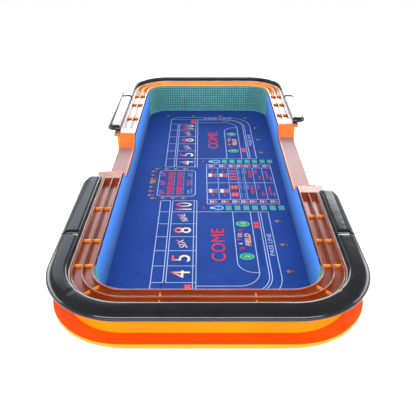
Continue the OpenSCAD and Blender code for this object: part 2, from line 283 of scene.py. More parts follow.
def metal(name, colour, rough):
    s = Shader(name)
    s.set(Metallic=1.0)
    s.colour(s.ramp(s.noise(25, 5), (0.3, darker(colour, 0.8)), (0.7, colour)))
    s.rough(s.range(s.noise(200, 4, 0.6, s.stretched((1, 1, 30))), rough - 0.08, rough + 0.12))
    s.bump(s.noise(400, 2), 0.04 * MM, 0.5)
    return s.material


EDGE_ROUNDING = 2.5 * MM
RAIL_LIGHT, RAIL_DARK = (0.34, 0.055, 0.008), (0.19, 0.027, 0.005)
# painted light: the far end rail is a much brighter copy of the rail wood, its lit and glaring look painted
# into the colour
FAR_RAIL_PAINTED_GLARE_LIGHT, FAR_RAIL_PAINTED_GLARE_DARK = (0.95, 0.36, 0.06), (0.65, 0.2, 0.03)
BOARD_PINK = (0.33, 0.165, 0.16), (0.26, 0.12, 0.115)
BLACK = (0.007, 0.007, 0.009)
FELT_BLUE = (0.013, 0.055, 0.28)
TIP = "tip"  # height of a pyramid, 0 at its foot and 1 at its point
RUBBER_GREEN = (0.08, 0.32, 0.31)
LINING_BLUE = (0.09, 0.33, 1.0)
# painted shade: the lining cloth darkens from full blue at its top to a quarter of it at the felt, standing
# in for the shade low on the walls
LINING_SHADE_STOPS = ((0.0, darker(LINING_BLUE, 0.25)), (0.4, darker(LINING_BLUE, 0.6)), (0.9, LINING_BLUE))
LINING_PAINTED_SHADE = ("Z", FELT_TOP, LINING_HIGH.z, LINING_SHADE_STOPS)
MATERIALS = {
    "black_vinyl": vinyl("black_vinyl", BLACK),
    # the piping is a real grey bead; its light grey also stands in as a painted highlight along the pad's
    # inner edge
    "piping": vinyl("piping", (0.3, 0.3, 0.33)),
    "armrest_wood": wood("armrest_wood", (0.4, 0.12, 0.03), (0.22, 0.05, 0.012)),
    "rail_wood": wood("rail_wood", RAIL_LIGHT, RAIL_DARK, coat=0.55, rough=0.25),
    "divider_wood": wood("divider_wood", (1.0, 0.4, 0.07), (0.85, 0.26, 0.03), "X", coat=0.2),
    "board_wood": wood("board_wood", *BOARD_PINK, coat=0.0, rough=0.45, fine=2.5),
    "cheek_wood": wood("cheek_wood", (0.8, 0.15, 0.01), (0.65, 0.11, 0.008), coat=0.0, rough=0.5),
    "trim_wood": wood("trim_wood", (1.0, 0.28, 0.04), (0.75, 0.16, 0.02), coat=0.3),
    "plain_wood": wood("plain_wood", (0.6, 0.4, 0.2), (0.4, 0.24, 0.1), coat=0.0, rough=0.6),
    "wall_ply": wood("wall_ply", (0.7, 0.52, 0.3), (0.52, 0.36, 0.18), coat=0.0, rough=0.6),
    "blue_cloth": cloth("blue_cloth", LINING_BLUE, sheen=0.03, gradient=LINING_PAINTED_SHADE),
    "green_rubber": rubber("green_rubber", RUBBER_GREEN),
    "foam": rubber("foam", (0.1, 0.1, 0.11)),
    "blue_felt": cloth("blue_felt", FELT_BLUE),
    "apron_yellow": lacquer("apron_yellow", (0.88, 0.26, 0.001), 0.5),
    "shelf_red": lacquer("shelf_red", (0.82, 0.068, 0.001), 0.5),
    "edge_yellow": lacquer("edge_yellow", (0.85, 0.27, 0.01), 0.25),
    "bracket_steel": metal("bracket_steel", (0.5, 0.5, 0.52), 0.4),
    "pedestal_wood": wood("pedestal_wood", (0.3, 0.1, 0.04), (0.14, 0.04, 0.015), "Z"),
    "plinth_wood": wood("plinth_wood", (0.05, 0.025, 0.015), (0.02, 0.01, 0.006), "X"),
    "insert_brass": metal("insert_brass", (0.75, 0.55, 0.25), 0.35),
    "foot_steel": metal("foot_steel", (0.6, 0.6, 0.62), 0.3),
}
PYRAMID_RUBBER = rubber("pyramid_rubber", RUBBER_GREEN, tips=True)
END_RAILS = {
    "chip_rail_near": wood("rail_wood_near", RAIL_LIGHT, RAIL_DARK, "X", coat=0.7, rough=0.22),
    # the far rail's brighter colours are painted light, not a different wood
    "chip_rail_far": wood("rail_wood_far_painted_glare", FAR_RAIL_PAINTED_GLARE_LIGHT, FAR_RAIL_PAINTED_GLARE_DARK, "X", coat=0.7, rough=0.22),
}


def dress_nodes():
    """Every CAD node gets the material of its slot; the end rails have their own, with the grain across, and
    the far one is painted much brighter as painted light.
    """
    for entry in frame["record"]["subparts"]:
        node = frame["nodes"][entry["node"]]
        material = END_RAILS.get(entry["node"]) or MATERIALS[entry["material_slot"]]
        for place in node.material_slots:
            place.material = material


# ---- mesh helpers -----------------------------------------------------------------------------------
def add_piece(name, points, faces, slot, material=None, smooth=True):
    """A new mesh piece that rides on the table."""
    mesh = bpy.data.meshes.new(name)
    mesh.from_pydata([tuple(p) for p in points], [], faces)
    mesh.validate()
    mesh.update()
    for face in mesh.polygons:
        face.use_smooth = smooth
    piece = bpy.data.objects.new(name, mesh)
    bpy.context.scene.collection.objects.link(piece)
    mesh.materials.append(material or MATERIALS[slot])
    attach(piece, TABLE)
    return piece


def grid_faces(rows, columns, closed=False):
    """Quads between rows of points; closed joins the last column to the first."""
    faces = []
    for i in range(rows - 1):
        for j in range(columns if closed else columns - 1):
            k = (j + 1) % columns
            faces.append((i * columns + j, i * columns + k, (i + 1) * columns + k, (i + 1) * columns + j))
    return faces


def spread(start, end, step):
    """Evenly spaced values from start to end, about step apart."""
    count = max(1, round(abs(end - start) / step))
    return [start + (end - start) * i / count for i in range(count + 1)]


def end_path(far, left, right, step):
    """(corner-line point, outward direction) round one end, from the left arm to the right arm.

    left and right are where the arms start, measured from the middle of the table.
    """
    path = [(Vector((-CORNER_X, -y)), Vector((-1, 0))) for y in spread(left, CORNER_Y, step)]
    arc_step = step / (CORNER_RADIUS * 0.8)
    for turn in spread(math.pi, 1.5 * math.pi, arc_step)[1:]:
        path.append((Vector((-CORNER_X, -CORNER_Y)), Vector((math.cos(turn), math.sin(turn)))))
    for x in spread(-CORNER_X, CORNER_X, step)[1:]:
        path.append((Vector((x, -CORNER_Y)), Vector((0, -1))))
    for turn in spread(1.5 * math.pi, 2 * math.pi, arc_step)[1:]:
        path.append((Vector((CORNER_X, -CORNER_Y)), Vector((math.cos(turn), math.sin(turn)))))
    path += [(Vector((CORNER_X, -y)), Vector((1, 0))) for y in spread(CORNER_Y, right, step)[1:]]
    return turned(path, far)


def side_path(side, far, start, end, step):
    """The same for a straight arm on one side (-1 left, 1 right)."""
    path = [(Vector((side * CORNER_X, -y)), Vector((side, 0))) for y in spread(start, end, step)]
    return turned(path, far)


def turned(path, far):
    """Mirrors a near path to the far end."""
    if not far:
        return path
    return [(Vector((p.x, -p.y)), Vector((d.x, -d.y))) for p, d in path]


# ---- armrest -------------------------------------------------------------------------------------------
PAD_STEP = 14 * MM  # distance between sections along the pad
PAD_CAP = 30 * MM  # length over which a free end drops
PAD_ROLL = 12 * MM  # radius of the rolled inner edge
PAD_SIDE = (50 * MM, 27 * MM)  # width and height of the round outer side
PAD_FOOT = 8 * MM  # radius of the outer edge underneath
PAD_CROWN = 2 * MM
WRINKLE_ROOM = 0.8 * MM  # kept free all round for the wrinkles
HALF_ACROSS = (PAD_OUT - PAD_IN) / 2 - WRINKLE_ROOM
HALF_UP = (PAD_HIGH.z - PAD_LOW.z) / 2 - 0.5 * MM
FOOT_TURN, SIDE_TURN, ROLL_TURN = 0.4, 0.13, 0.2  # radians between the points of each curve
TOP_STEP, UNDER_STEP = 8 * MM, 10 * MM
SEAM_PINCH, SEAM_WIDTH = 0.25, 6 * MM  # share of the height lost at a sewn seam, and its half width
CORNER_PINCH = 0.04
END_WIDE, END_TALL = 0.35, 0.45  # shares of the section left at a free end
SEAM_GAP = 3 * MM
NEAR_TAPER, FAR_TAPER = 90 * MM, 55 * MM  # lengths over which the free ends narrow
FOLD_REACH = 45 * MM  # distance over which the folds by an end or a seam die away
SOFT_WAVE, FOLD_WAVE, END_FOLD = 0.6 * MM, 0.2 * MM, 1.2 * MM  # depths of the wrinkles


def pad_outline():
    """Cross-section of the padding about its middle: flat above, well rounded at the outer side."""
    wide, tall = PAD_SIDE
    outline = []
    for turn in spread(-math.pi / 2, 0, FOOT_TURN)[:-1]:
        outline.append((HALF_ACROSS - PAD_FOOT * (1 - math.cos(turn)),
                        PAD_FOOT * (1 + math.sin(turn)) - HALF_UP))
    for turn in spread(0, math.pi / 2, SIDE_TURN):
        outline.append((HALF_ACROSS - wide * (1 - math.cos(turn)), HALF_UP - tall * (1 - math.sin(turn))))
    for x in spread(HALF_ACROSS - wide, PAD_ROLL - HALF_ACROSS, TOP_STEP)[1:]:
        share = (HALF_ACROSS - wide - x) / (2 * HALF_ACROSS - wide)
        outline.append((x, HALF_UP - PAD_CROWN * share**2))
    for turn in spread(math.pi / 2, math.pi, ROLL_TURN)[1:]:
        outline.append((PAD_ROLL - HALF_ACROSS + PAD_ROLL * math.cos(turn),
                        HALF_UP - PAD_CROWN - PAD_ROLL + PAD_ROLL * math.sin(turn)))
    for x in spread(-HALF_ACROSS, HALF_ACROSS - PAD_FOOT, UNDER_STEP)[:-1]:
        outline.append((x, -HALF_UP))
    return outline


def pad_wrinkle(place, near_seam):
    """How far the vinyl stands off its smooth shape, in metres."""
    soft = SOFT_WAVE * noise.noise(place * 6)
    folds = noise.noise(Vector((place.x * 38, place.y * 38, place.z * 8)))
    return soft + folds * (FOLD_WAVE + END_FOLD * near_seam)


def pad_squeeze(distance, taper):
    """(width, height) left at this distance from an end; taper None is a sewn seam."""
    if taper is None:
        return 1.0, 1 - SEAM_PINCH * math.exp(-((distance / SEAM_WIDTH) ** 2))
    wide = END_WIDE + (1 - END_WIDE) * math.sqrt(1 - max(0.0, 1 - distance / taper) ** 2)
    tall = END_TALL + (1 - END_TALL) * math.sqrt(1 - max(0.0, 1 - distance / PAD_CAP) ** 2)
    return wide, tall


def corner_seam(out):
    """Height left at the stitched seam half way round each corner."""
    straight = min(abs(out.x), abs(out.y)) < 0.1
    if straight:
        return 1.0
    distance = (abs(out.x) - abs(out.y)) * CORNER_RADIUS * 0.7
    return 1 - CORNER_PINCH * math.exp(-((distance / SEAM_WIDTH) ** 2))


def make_pad(name, path, start_taper, end_taper):
    """One length of padding swept along a path; a taper is how far a free end rounds in."""
    outline = pad_outline()
    middle_up, middle_across = (PAD_HIGH.z + PAD_LOW.z) / 2, (PAD_OUT + PAD_IN) / 2
    spine = [p + d * middle_across for p, d in path]
    runs = [0.0]
    for here, there in zip(spine, spine[1:]):
        runs.append(runs[-1] + (there - here).length)
    points = []
    for (p, d), run in zip(path, runs):
        start_wide, start_tall = pad_squeeze(run, start_taper)
        end_wide, end_tall = pad_squeeze(runs[-1] - run, end_taper)
        wide, tall = start_wide * end_wide, start_tall * end_tall * corner_seam(d)
        folded = math.exp(-min(run, runs[-1] - run) / FOLD_REACH)
        shift = middle_across - HALF_ACROSS * (1 - wide)
        centre = Vector((*(p + d * shift), middle_up))
        for across, up in outline:
            height = middle_up - HALF_UP + (up + HALF_UP) * tall
            spot = Vector((*(p + d * (shift + across * wide)), height))
            spot += (spot - centre).normalized() * (pad_wrinkle(spot, folded) - WRINKLE_ROOM)
            spot.z = max(spot.z, PAD_LOW.z)
            points.append(spot)
    count = len(outline)
    faces = grid_faces(len(path), count, closed=True)
    for row in (0, len(path) - 1):
        ring = [row * count + j for j in range(count)]
        points.append(sum((points[k] for k in ring), Vector()) / count)
        for j in range(count):
            pair = (ring[j], ring[(j + 1) % count])
            faces.append((*(pair if row else pair[::-1]), len(points) - 1))
    piece = add_piece(name + "_vinyl", points, faces, "black_vinyl")
    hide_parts(name)


def make_armrest():
    """Padding round each end, and the separate lengths along the four arms."""
    half_seam = SEAM_GAP / 2
    for far, end, taper in ((False, "near", NEAR_TAPER), (True, "far", FAR_TAPER)):
        path = end_path(far, SEAM + half_seam, SEAM + half_seam, PAD_STEP)
        make_pad(f"armrest_pad_{end}", path, None, None)
        for side, hand in ((-1, "left"), (1, "right")):
            name = f"armrest_pad_{end}_{hand}"
            low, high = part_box(name)
            start = min(abs(low.y), abs(high.y))
            make_pad(name, side_path(side, far, start, SEAM - half_seam, PAD_STEP), taper, None)


# ---- tub linings ---------------------------------------------------------------------------------------
def lining_top(side, y):
    """Height of the top of the cloth at y: full height, under the sloping cheek, or at the notch."""
    board_low, board_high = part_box("notch_board_right" if side > 0 else "notch_board_left")
    toe = board_high.y
    full = LINING_HIGH.z
    cheek_top = toe + (full - board_low.z) * CHEEK_RUN / CHEEK_DROP
    if abs(y) >= cheek_top:
        return full
    return board_low.z + max(0.0, abs(y) - toe) * CHEEK_DROP / CHEEK_RUN


# slack folds in a lining: place along the table, slant, half width (m) and depth (mm)
FOLDS = ((-1.1, 0.9, 0.009, 4.4), (-1.02, 0.5, 0.009, 2.4), (0.86, -0.5, 0.015, 2.4))
LINING_ROWS = 14
LINING_STEP = 12 * MM
LINING_STAND_OFF = 1.5 * MM
RIPPLE_DEPTH = 1.3  # mm


def crease(y, z):
    """Depth of the soft folds in the lining at one spot."""
    depth = 0.0
    for where, slant, width, amount in FOLDS:
        distance = (y - where) + slant * (z - FELT_TOP - 0.1)
        depth += amount * math.exp(-((distance / width) ** 2))
    ripple = RIPPLE_DEPTH * (0.5 + 0.5 * noise.noise(Vector((y * 3.2, z * 9, 4))))
    return (depth + ripple) * MM


def make_lining(side):
    """Cloth stretched over one long wall, with a few slack folds."""
    name = "lining_right" if side > 0 else "lining_left"
    reach = LINING_HIGH.y
    face = LINING_LOW.x - LINING_STAND_OFF
    points, area = [], 0.0
    columns = spread(-reach, reach, LINING_STEP)
    for y in columns:
        top = lining_top(side, y)
        area += (top - FELT_TOP) * (columns[1] - columns[0])
        for i in range(LINING_ROWS):
            z = FELT_TOP + (top - FELT_TOP) * i / (LINING_ROWS - 1)
            points.append((side * (face + crease(y, z)), y, z))
    piece = add_piece(name + "_cloth", points, grid_faces(len(columns), LINING_ROWS), "blue_cloth")
    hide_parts(name)


PYRAMID = 22 * MM  # side of one pyramid
PYRAMID_TALL, PYRAMID_ROOT = 9 * MM, 0.3 * MM  # how far the points and the bases stand off the sheet
PLAIN_STRIP = 14 * MM  # smooth rubber below the pyramids


def make_pyramids(far):
    """Moulded pyramids over the rubber sheet at one end, above a plain strip."""
    end = "far" if far else "near"
    start = -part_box("rubber_near")[1].y
    path = end_path(far, start, start, PYRAMID)
    levels = spread(RUBBER_LOW.z + PLAIN_STRIP, RUBBER_HIGH.z - 1 * MM, PYRAMID)
    base, tip = RUBBER_FACE - PYRAMID_ROOT, RUBBER_FACE - PYRAMID_TALL
    points, faces = [], []
    for (p, d), (q, e) in zip(path, path[1:]):
        left, right = p + d * base, q + e * base
        peak = (p + q) / 2 + (d + e).normalized() * tip
        for z0, z1 in zip(levels, levels[1:]):
            k = len(points)
            points += [(*left, z0), (*right, z0), (*right, z1), (*left, z1), (*peak, (z0 + z1) / 2)]
            faces += [(k + a, k + (a + 1) % 4, k + 4) for a in range(4)]
    piece = add_piece(f"rubber_pyramids_{end}", points, faces, "green_rubber", PYRAMID_RUBBER, smooth=False)
    heights = piece.data.attributes.new(TIP, "FLOAT", "POINT")
    heights.data.foreach_set("value", [0.0, 0.0, 0.0, 0.0, 1.0] * (len(points) // 5))


# ---- playing surface -----------------------------------------------------------------------------------
def rounded_outline(half_x, half_y, radius, steps=14):
    """Corner-rounded rectangle as a list of (x, y)."""
    outline = []
    for quarter, (sx, sy) in enumerate(((1, 1), (-1, 1), (-1, -1), (1, -1))):
        for i in range(steps + 1):
            turn = math.pi / 2 * (quarter + i / steps)
            outline.append((sx * (half_x - radius) + radius * math.cos(turn),
                            sy * (half_y - radius) + radius * math.sin(turn)))
    return outline


def make_felt():
    """The layout cloth, stretched flat over the underlay."""
    outline = rounded_outline(FELT_HIGH.x, FELT_HIGH.y, WALL)
    points = [(x, y, FELT_TOP) for x, y in outline]
    piece = add_piece("layout_cloth", points, [tuple(range(len(points)))], "blue_felt")
    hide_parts("layout_felt")


THIN, THICK = 3, 4.5  # widths of the printed lines, millimetres


class Print:
    """Flat ink shapes in millimetres from the middle of the layout, one mesh for each colour."""

    SHIFT = 47.0  # the layout is centred a little towards the right
    SKEW = -0.012  # and drawn slightly out of square
    LIFT, LAYER = 0.25, 0.2  # height of the first ink over the cloth, and of each one over the last
    PIP_REACH, PIP_RADIUS = 0.55, 0.16  # shares of half a die

    def __init__(self):
        self.inks = {}

    def add(self, ink, points, faces, level=0):
        held = self.inks.setdefault(ink, ([], []))
        k = len(held[0])
        z = FELT_TOP + (self.LIFT + self.LAYER * level) * MM
        held[0].extend(((x + self.SHIFT + self.SKEW * y) * MM, y * MM, z) for x, y in points)
        held[1].extend(tuple(k + i for i in face) for face in faces)

    def shape(self, ink, points, level=0):
        self.add(ink, points, [tuple(range(len(points)))], level)

    def line(self, ink, points, width=THICK, closed=False, level=0):
        """A band of even width along a path."""
        path = [Vector(p) for p in points]
        count = len(path)
        sides = []
        for i, p in enumerate(path):
            before = path[i - 1] if i or closed else None
            after = path[(i + 1) % count] if i < count - 1 or closed else None
            one = (p - before).normalized() if before is not None else None
            two = (after - p).normalized() if after is not None else None
            way = ((one or two) + (two or one)).normalized()
            across = Vector((-way.y, way.x))
            reach = width / 2 / max(0.4, abs(across.dot(Vector((-(one or two).y, (one or two).x)))))
            sides += [p + across * reach, p - across * reach]
        faces = []
        for i in range(count if closed else count - 1):
            k = (i + 1) % count
            faces.append((2 * i, 2 * i + 1, 2 * k + 1, 2 * k))
        self.add(ink, [tuple(p) for p in sides], faces, level)

    def rectangle(self, ink, x0, y0, x1, y1):
        self.line(ink, [(x0, y0), (x1, y0), (x1, y1), (x0, y1)], closed=True)

    def block(self, ink, x, y, half_x, half_y, turn=0.0, level=0):
        c, s = math.cos(turn), math.sin(turn)
        corners = [(half_x, half_y), (-half_x, half_y), (-half_x, -half_y), (half_x, -half_y)]
        self.shape(ink, [(x + a * c - b * s, y + a * s + b * c) for a, b in corners], level)

    def disc(self, ink, x, y, radius, level=0, squash=1.0):
        turns = [2 * math.pi * i / 28 for i in range(28)]
        self.shape(ink, [(x + radius * math.cos(t), y + radius * squash * math.sin(t)) for t in turns], level)

    def write(self, ink, words, x, y, height, length, turn=90.0, slant=0.0, level=0, weight=0.0):
        """Words centred at (x, y), this tall and this long, reading along turn in degrees."""
        curve = bpy.data.curves.new("words", "FONT")
        curve.body = words
        curve.shear = slant
        curve.offset = weight
        curve.resolution_u = 3
        holder = bpy.data.objects.new("words", curve)
        bpy.context.scene.collection.objects.link(holder)
        mesh = bpy.data.meshes.new_from_object(holder)
        xs = [v.co.x for v in mesh.vertices]
        ys = [v.co.y for v in mesh.vertices]
        scale_x = length / (max(xs) - min(xs))
        scale_y = height / (max(ys) - min(ys))
        c, s = math.cos(math.radians(turn)), math.sin(math.radians(turn))
        points = []
        for v in mesh.vertices:
            a = (v.co.x - (max(xs) + min(xs)) / 2) * scale_x
            b = (v.co.y - (max(ys) + min(ys)) / 2) * scale_y
            points.append((x + a * c - b * s, y + a * s + b * c))
        self.add(ink, points, [tuple(f.vertices) for f in mesh.polygons], level)
        bpy.data.objects.remove(holder)
        bpy.data.meshes.remove(mesh)
        bpy.data.curves.remove(curve)

    def die(self, ink, pips, x, y, half, turn=0.0, level=0):
        """A small square die face with five pips."""
        self.block(ink, x, y, half, half, turn, level)
        for a, b in ((0, 0), (1, 1), (1, -1), (-1, 1), (-1, -1)):
            reach = half * self.PIP_REACH
            c, s = math.cos(turn), math.sin(turn)
            pip_x, pip_y = x + reach * (a * c - b * s), y + reach * (a * s + b * c)
            self.disc(pips, pip_x, pip_y, half * self.PIP_RADIUS, level + 1)

    def finish(self, inks):
        for ink, (points, faces) in self.inks.items():
            add_piece(f"print_{ink}", points, faces, "blue_felt", inks[ink], smooth=False)


# the layout's driving sizes, millimetres from its middle, or plain lengths
BOX = 145  # one number box along the table
FIRST = 256  # where the first number box starts
LAST = FIRST + 6 * BOX
EDGE = LAST + 110  # end of the box behind the numbers
PASS = EDGE + 52  # outer line of the pass line
GRID = (-367, -301, -286, -143, -125)  # long lines: lay boxes, a gap, numbers and a strip between
CHAMFER = 52  # cut corner of the pass line beside it
FIELD = (107, 222)  # inner and outer side of the field box
FIELD_MIDDLE = 720
FIELD_END = 95  # radius of its rounded end
INNER_PASS, OUTER_PASS = (273, 288), 338
CORNER_RADII = (210, 170, 158, 120)  # of the lines round each end, outermost first
COME_EDGE = FIRST + BOX
CENTRE_X = (-55, 27, 104, 172, 222, 287, 358, 429)
CENTRE_Y, CENTRE_STRIP = 300, 238
NUMBERS = ("4", "5", "SIX", "8", "NINE", "10")
FIELD_NUMBERS = ("3", "4", "9", "10", "11")
DIGIT_TALL, DIGIT_LONG = 106, {1: 62, 2: 92}
WORD_TALL, WORD_LONG = 44, 98
COME_TALL, COME_LONG = 80, 336
DISC_RINGS = (("green", 44), ("mint", 40), ("green", 35))  # ink and radius, largest first
DISC_PLACES = (548, 892)
ROUND_BETS, ROUND_PITCH, ROUND_START = 7, 58, 85
ODDS_X, ODDS_HALF = (-400, -137), 195
ODDS_PRINT = "9 FOR 5 - 7 FOR 5 - 7 FOR 6 - 7 FOR 6 - 7 FOR 5 - 9 FOR 5"


def corner_line(x, y, radius, sign, start_y, end_x):
    """A line up one side, round a corner and along the end, for the near (-1) or far (1) half."""
    path = [(x, sign * start_y)]
    for i in range(17):
        turn = math.pi / 2 * i / 16
        path.append((x - radius + radius * math.cos(turn), sign * (y - radius + radius * math.sin(turn))))
    path.append((end_x, sign * y))
    return path


def number_grid(ink, sign):
    """Six number boxes with the lay boxes beside them and the box behind them."""
    for x in (GRID[0], GRID[3], GRID[4]):
        ink.line("white", [(x, sign * FIRST), (x, sign * EDGE)])
    for x in GRID[1:3]:
        ink.line("white", [(x, sign * FIRST), (x, sign * LAST)])
    for k in range(7):
        y = sign * (FIRST + k * BOX)
        ink.line("white", [(GRID[0], y), (GRID[1], y)])
        ink.line("white", [(GRID[2], y), (GRID[4], y)])
    middle = (GRID[2] + GRID[3]) / 2 + 3
    order = NUMBERS if sign > 0 else NUMBERS[::-1]
    for k, words in enumerate(order):
        y = sign * (FIRST + (k + 0.5) * BOX)
        if words.isdigit():
            ink.write("number", words, middle, y, DIGIT_TALL, DIGIT_LONG[len(words)], level=1)
        else:
            ink.write("number", words, middle, y, WORD_TALL, WORD_LONG, turn=108, slant=0.3, level=1)
    behind = sign * (LAST + EDGE) / 2
    ink.write("navy", "DON'T COME BAR", GRID[1] - 8, behind, 12, 84, level=1)
    for dy in (-20, 20):
        ink.die("red", "white", GRID[3] - 26, behind + dy, 17, level=1)


def pass_lines(ink, sign):
    """The pass line, don't pass bar and come lines round one end."""
    start = COME_EDGE
    cut = GRID[0] + CHAMFER
    corners = ((OUTER_PASS, PASS, cut), (INNER_PASS[1], EDGE, GRID[0]),
               (INNER_PASS[0], EDGE - 14, GRID[4]), (FIELD[1], LAST + 30, GRID[4]))
    for (x, y, end), radius in zip(corners, CORNER_RADII):
        ink.line("white", corner_line(x, y, radius, sign, start, end))
    ink.line("white", [(cut, sign * PASS), (GRID[0], sign * EDGE)])
    ink.line("white", [(GRID[4], sign * start), (OUTER_PASS, sign * start)])
    ink.write("white", "PASS LINE", (INNER_PASS[1] + OUTER_PASS) / 2, sign * 770, 26, 225, level=1)
    ink.write("white", "PASS LINE", 60, sign * (PASS + EDGE) / 2, 26, 250, turn=90 - 90 * sign, level=1)
    bar = (FIELD[1] + INNER_PASS[0]) / 2
    ink.write("navy", "DON'T PASS BAR", bar, sign * 850, 20, 250, level=1)
    for dy in (-19, 19):
        ink.die("red", "white", bar, sign * 560 + dy, 16, level=1)
    for k in range(4):
        ink.die("red", "white", 106 + 17 * k, sign * (LAST + 58), 7.5, level=1)


def field(ink, sign):
    """The field box with its curved end, two green discs and an arc of numbers."""
    near, far = COME_EDGE, LAST - 85
    path = [(FIELD[0], sign * near)]
    for i in range(13):
        turn = math.pi / 2 * i / 12
        path.append((FIELD[1] - 20 - FIELD_END * math.cos(turn),
                     sign * (far - FIELD_END + FIELD_END * math.sin(turn))))
    path.append((FIELD[1], sign * far))
    ink.line("white", path)
    middle = (FIELD[0] + FIELD[1]) / 2
    for y, words in zip(DISC_PLACES, ("12", "2") if sign < 0 else ("2", "12")):
        for level, (shade, radius) in enumerate(DISC_RINGS):
            ink.disc(shade, middle, sign * y, radius, level + 1, squash=0.75)
        ink.write("cream", words, middle + 2, sign * y, 26, 17 * len(words), level=4)
    for k, words in enumerate(FIELD_NUMBERS):
        y = sign * FIELD_MIDDLE + (k - 2) * 46
        x = FIELD[0] + 24 + 7 * abs(k - 2)
        ink.write("cream" if k % 2 else "red", words, x, y, 27, 17 * len(words), level=1)
    ink.write("red", "FIELD", FIELD[1] - 37, sign * FIELD_MIDDLE - 5, 34, 130, slant=0.2, level=1)
    ink.write("cream", "FIELD", FIELD[1] - 40, sign * FIELD_MIDDLE, 32, 128, slant=0.2, level=2)
    ink.write("red", "COME", 4, sign * 768, COME_TALL, COME_LONG, level=1, weight=-0.005)


def service_bets(ink, sign):
    """The row of round bets between the centre box and the come line."""
    y = sign * (CENTRE_Y + COME_EDGE) / 2
    for k in range(ROUND_BETS):
        x = ROUND_START + ROUND_PITCH * k
        for dx in (-9.5, 9.5):
            for dy in (-20, 0, 20):
                ink.disc("mint", x + dx, y + dy, 10, 1)
                ink.disc("felt", x + dx, y + dy, 5, 2)
    ink.disc("sky", 18, y, 34, 1, squash=0.8)
    ink.disc("felt", 18, y, 26, 2, squash=0.8)
    ink.write("sky", "C E", 18, y, 16, 34, level=3)
    ink.disc("white", -24, y, 15, 1)
    ink.write("red", "COME", -80, y, 12, 44, level=1)


def centre_box(ink):
    """The proposition bets in the middle of the layout."""
    left, right = CENTRE_X[0], CENTRE_X[-1]
    ink.rectangle("white", left, -CENTRE_Y, right, CENTRE_Y)
    for y in (-CENTRE_STRIP, 0, CENTRE_STRIP):
        ink.line("white", [(left, y), (right, y)])
    for x in CENTRE_X[1:-1]:
        ink.line("white", [(x, -CENTRE_STRIP), (x, CENTRE_STRIP)], THIN)
    middles = [(a + b) / 2 for a, b in zip(CENTRE_X, CENTRE_X[1:])]
    hard, horn, odds, seven, craps, eleven = middles[:2], *middles[2:]
    for side in (-1, 1):
        y = side * CENTRE_STRIP / 2
        for x in hard:
            for dy in (-13, 13):
                ink.die("cream", "navy", x - 16, y + dy, 12, level=1)
                ink.die("red", "cream", x + 8, y + dy, 9, level=1)
            ink.write("white", "7 FOR 1", x + 26, y, 11, 70, level=1)
            ink.write("red", "HARD", x - 1, y + 58 * side, 11, 42, level=1)
        if side > 0:
            for k in range(12):
                ink.die("red", "cream", horn + (k % 3 - 1) * 18, y + (k // 3 - 1.5) * 44, 8, level=1)
        else:
            for dy in (-52, 52):
                ink.die("red", "cream", horn, y + dy, 25, level=1)
        for dx in (-12, 12):
            ink.write("white", "15 FOR 1 - 30 FOR 1", odds + dx, y, 7, 190, level=1)
        ink.write("red", "SEVEN", seven + 8, y + 20, 20, 120, level=1, weight=0.03)
        ink.write("white", "5 FOR 1", seven - 20, y + 60, 9, 70, level=1)
        for dx, dy in ((-14, 55), (10, -45)):
            ink.write("red", "CRAPS", craps + dx, y + dy, 14, 60, level=1, weight=0.03)
        ink.write("red", "ELEVEN", eleven - 8, y, 14, 120, level=1, weight=0.03)
        ink.write("white", "15 FOR 1", eleven + 16, y - 50, 9, 70, level=1)
        strip = side * (CENTRE_STRIP + CENTRE_Y) / 2
        for x in middles:
            for k, shade in enumerate(("cream", "mint", "cream")):
                ink.block(shade, x - 20 + 9 * k, strip, 2.5, 17, level=1)
            ink.die("red", "cream", x + 15, strip, 11, level=1)


def odds_box(ink):
    """The rounded box of odds between the two number grids, with dice pairs round it."""
    low, high = ODDS_X
    outline = [(x + (low + high) / 2, y) for x, y in rounded_outline((high - low) / 2, ODDS_HALF, 34)]
    ink.line("white", outline, closed=True)
    for y in (-135, 0, 135):
        ink.write("red", "BUY", low + 34, y, 22, 52, level=1, weight=0.04)
        ink.write("white", "4 - 10", low + 16, y, 9, 60, level=1)
    for x in (low + 84, low + 150):
        for dx in (-10, 10):
            ink.write("red", "PLACE BETS - ODDS - PLACE BETS", x + dx, 0, 16, 340, level=1, weight=0.04)
        ink.write("white", ODDS_PRINT, x + 28, 0, 7, 340, level=1)
    ink.write("white", "2 FOR 1 - 3 FOR 2 - 6 FOR 5", low + 236, 0, 10, 320, level=1)
    ink.write("red", "ODDS", low + 214, 0, 22, 90, level=1)
    for y in (-130, 130):
        ink.write("white", "LAY", low + 214, y, 14, 50, level=1)
    for side in (-1, 1):
        for k in range(4):
            dice_pair(ink, low - 18 + 70 * k, side * (ODDS_HALF + 27))
    for k in range(7):
        dice_pair(ink, low - 40, 180 - 60 * k)
    ink.disc("orange", low - 44, 20, 20, 3)
    ink.disc("red", low - 44, 20, 11, 4)


def dice_pair(ink, x, y):
    """A pair of small dice, one orange and one black."""
    ink.die("orange", "black", x - 10, y, 11, 0.3, 1)
    ink.die("black", "cream", x + 11, y - 3, 12, -0.35, 2)


def margin_dice(ink, sign):
    """The dice pairs scattered between the pass line and the walls."""
    for y in (516, 774, 1031):
        dice_pair(ink, 393, sign * y)
    dice_pair(ink, 320, sign * 1272)
    for x in (89, -158, -394):
        dice_pair(ink, x, sign * (PASS + 38))


